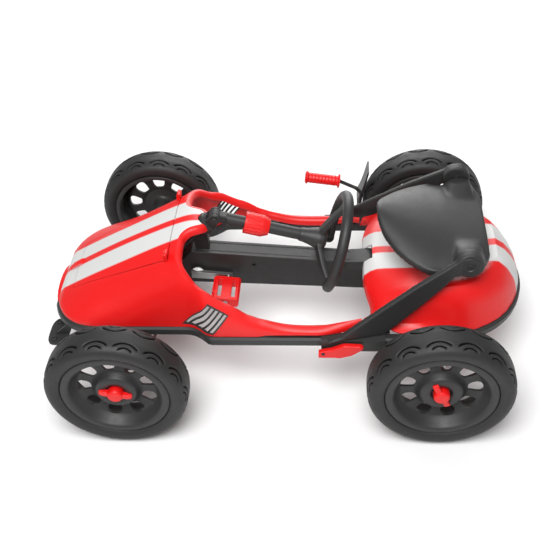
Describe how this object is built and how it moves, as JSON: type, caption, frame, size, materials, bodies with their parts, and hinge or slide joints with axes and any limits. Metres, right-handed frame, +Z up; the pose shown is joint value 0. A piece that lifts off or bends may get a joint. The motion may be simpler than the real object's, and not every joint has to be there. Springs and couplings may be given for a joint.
{
  "type": "pedal go kart",
  "caption": "Foldable child pedal go kart with red body, dark frame rails, spoked wheels, folded steering column and fold-down backrest.",
  "frame": {"origin": "middle of the box around the kart at rest, on the ground", "axes": "+X forward along the length, +Y to the left, +Z up from the ground"},
  "size_m": [0.967, 0.636, 0.3586],
  "materials": {
    "red_plastic": "semi-gloss",
    "dark_plastic": "satin",
    "black_plastic": "matte",
    "dark_paint": "satin",
    "steel": "brushed",
    "tyre_rubber": "matte"
  },
  "bodies": {
    "chassis": {"main_beam": "dark_paint", "beam_cover": "dark_plastic", "crank_bushes": "black_plastic", "chain": "steel", "left_rail": "dark_plastic", "right_rail": "dark_plastic", "nose_tray": "dark_plastic", "tail_tray": "dark_plastic", "front_body": "red_plastic", "rear_body": "red_plastic", "nose_ring": "red_plastic", "grille": "black_plastic", "left_vent": "dark_plastic", "right_vent": "dark_plastic", "front_axle_beam": "dark_paint", "kingpins": "steel", "bumper_brackets": "dark_paint", "axle_hangers": "dark_paint", "axle_bushes": "black_plastic", "steering_socket": "black_plastic", "crossbars": "dark_paint", "brake_bracket": "dark_paint", "hood_hinges": "red_plastic"},
    "hood": {"hood_panel": "red_plastic"},
    "lower_shaft": {"lower_shaft": "steel"},
    "column": {"column_tube": "dark_plastic", "fold_pin": "steel", "steering_wheel": "dark_plastic"},
    "lock_sleeve": {"lock_sleeve": "red_plastic"},
    "track_rod": {"track_rod": "steel"},
    "left_knuckle": {"left_knuckle": "dark_paint"},
    "right_knuckle": {"right_knuckle": "dark_paint"},
    "front_left_wheel": {"front_left_tyre": "tyre_rubber", "front_left_rim": "dark_plastic", "front_left_spinner": "red_plastic"},
    "front_right_wheel": {"front_right_tyre": "tyre_rubber", "front_right_rim": "dark_plastic", "front_right_spinner": "red_plastic"},
    "rear_axle": {"rear_axle": "steel", "rear_sprocket": "steel", "rear_left_tyre": "tyre_rubber", "rear_left_rim": "dark_plastic", "rear_left_spinner": "red_plastic", "rear_right_tyre": "tyre_rubber", "rear_right_rim": "dark_plastic", "rear_right_spinner": "red_plastic"},
    "crank": {"crankset": "steel", "chainring": "steel"},
    "left_pedal": {"left_pedal": "red_plastic"},
    "right_pedal": {"right_pedal": "red_plastic"},
    "seat_frame": {"left_arm": "dark_plastic", "right_arm": "dark_plastic", "left_shoe": "dark_plastic", "right_shoe": "dark_plastic", "pivot_pins": "steel"},
    "left_latch": {"left_latch": "red_plastic"},
    "right_latch": {"right_latch": "red_plastic"},
    "backrest": {"backrest": "dark_plastic"},
    "brake_lever": {"brake_lever": "dark_paint", "brake_grip": "red_plastic"}
  },
  "joints": [
    {"name": "left_steer", "type": "hinge", "parent": "chassis", "child": "left_knuckle", "pos_m": [0.307, 0.21, 0.1375], "axis": [0, 0, 1], "range_deg": [-7.5, 7.5]},
    {"name": "right_steer", "type": "hinge", "parent": "chassis", "child": "right_knuckle", "pos_m": [0.307, -0.21, 0.1375], "axis": [0, 0, 1], "range_deg": [-7.5, 7.5]},
    {"name": "steering", "type": "hinge", "parent": "chassis", "child": "lower_shaft", "pos_m": [0.1305, 0, 0.3255], "axis": [-0.7071, 0, 0.7071], "range_deg": [-6.04, 6.04]},
    {"name": "track_rod_slide", "type": "slide", "parent": "chassis", "child": "track_rod", "axis": [0, 1, 0], "range_m": [-0.00589, 0.00589]},
    {"name": "column_fold", "type": "hinge", "parent": "lower_shaft", "child": "column", "pos_m": [0.1305, 0, 0.3255], "axis": [0, 1, 0], "range_deg": [0, 61]},
    {"name": "sleeve_slide", "type": "slide", "parent": "column", "child": "lock_sleeve", "axis": [0.9613, 0, 0.2756], "range_m": [0, 0.028]},
    {"name": "front_left_spin", "type": "hinge", "parent": "left_knuckle", "child": "front_left_wheel", "pos_m": [0.307, 0.278, 0.1375], "axis": [0, 1, 0], "continuous": true},
    {"name": "front_right_spin", "type": "hinge", "parent": "right_knuckle", "child": "front_right_wheel", "pos_m": [0.307, -0.278, 0.1375], "axis": [0, 1, 0], "continuous": true},
    {"name": "rear_axle_spin", "type": "hinge", "parent": "chassis", "child": "rear_axle", "pos_m": [-0.304, 0, 0.1375], "axis": [0, 1, 0], "continuous": true},
    {"name": "crank_spin", "type": "hinge", "parent": "chassis", "child": "crank", "pos_m": [0.1765, 0, 0.197], "axis": [0, 1, 0], "continuous": true},
    {"name": "left_pedal_spin", "type": "hinge", "parent": "crank", "child": "left_pedal", "pos_m": [0.11289, 0.076, 0.18998], "axis": [0, 1, 0], "continuous": true},
    {"name": "right_pedal_spin", "type": "hinge", "parent": "crank", "child": "right_pedal", "pos_m": [0.24011, -0.076, 0.20402], "axis": [0, 1, 0], "continuous": true},
    {"name": "hood_hinge", "type": "hinge", "parent": "chassis", "child": "hood", "pos_m": [0.2185, 0, 0.309], "axis": [0, -1, 0], "range_deg": [0, 70]},
    {"name": "seat_slide", "type": "slide", "parent": "chassis", "child": "seat_frame", "axis": [1, 0, 0], "range_m": [0, 0.024]},
    {"name": "left_latch_pull", "type": "hinge", "parent": "seat_frame", "child": "left_latch", "pos_m": [-0.0845, 0.2, 0.147], "axis": [0, -1, 0], "range_deg": [0, 18], "stiffness_Nm_per_rad": 0.4},
    {"name": "right_latch_pull", "type": "hinge", "parent": "seat_frame", "child": "right_latch", "pos_m": [-0.0845, -0.2, 0.147], "axis": [0, -1, 0], "range_deg": [0, 18], "stiffness_Nm_per_rad": 0.4},
    {"name": "backrest_fold", "type": "hinge", "parent": "seat_frame", "child": "backrest", "pos_m": [-0.3545, 0, 0.318], "axis": [0, -1, 0], "range_deg": [0, 90]},
    {"name": "brake_pull", "type": "hinge", "parent": "chassis", "child": "brake_lever", "pos_m": [-0.1585, -0.235, 0.158], "axis": [0, -1, 0], "range_deg": [0, 9], "stiffness_Nm_per_rad": 2}
  ],
  "couplings": [
    {"joint": "right_steer", "follows": "left_steer", "ratio": 1},
    {"joint": "steering", "follows": "left_steer", "ratio": 0.8054},
    {"joint": "track_rod_slide", "follows": "left_steer", "m_per_rad": -0.045},
    {"joint": "crank_spin", "follows": "rear_axle_spin", "ratio": 0.66667}
  ]
}
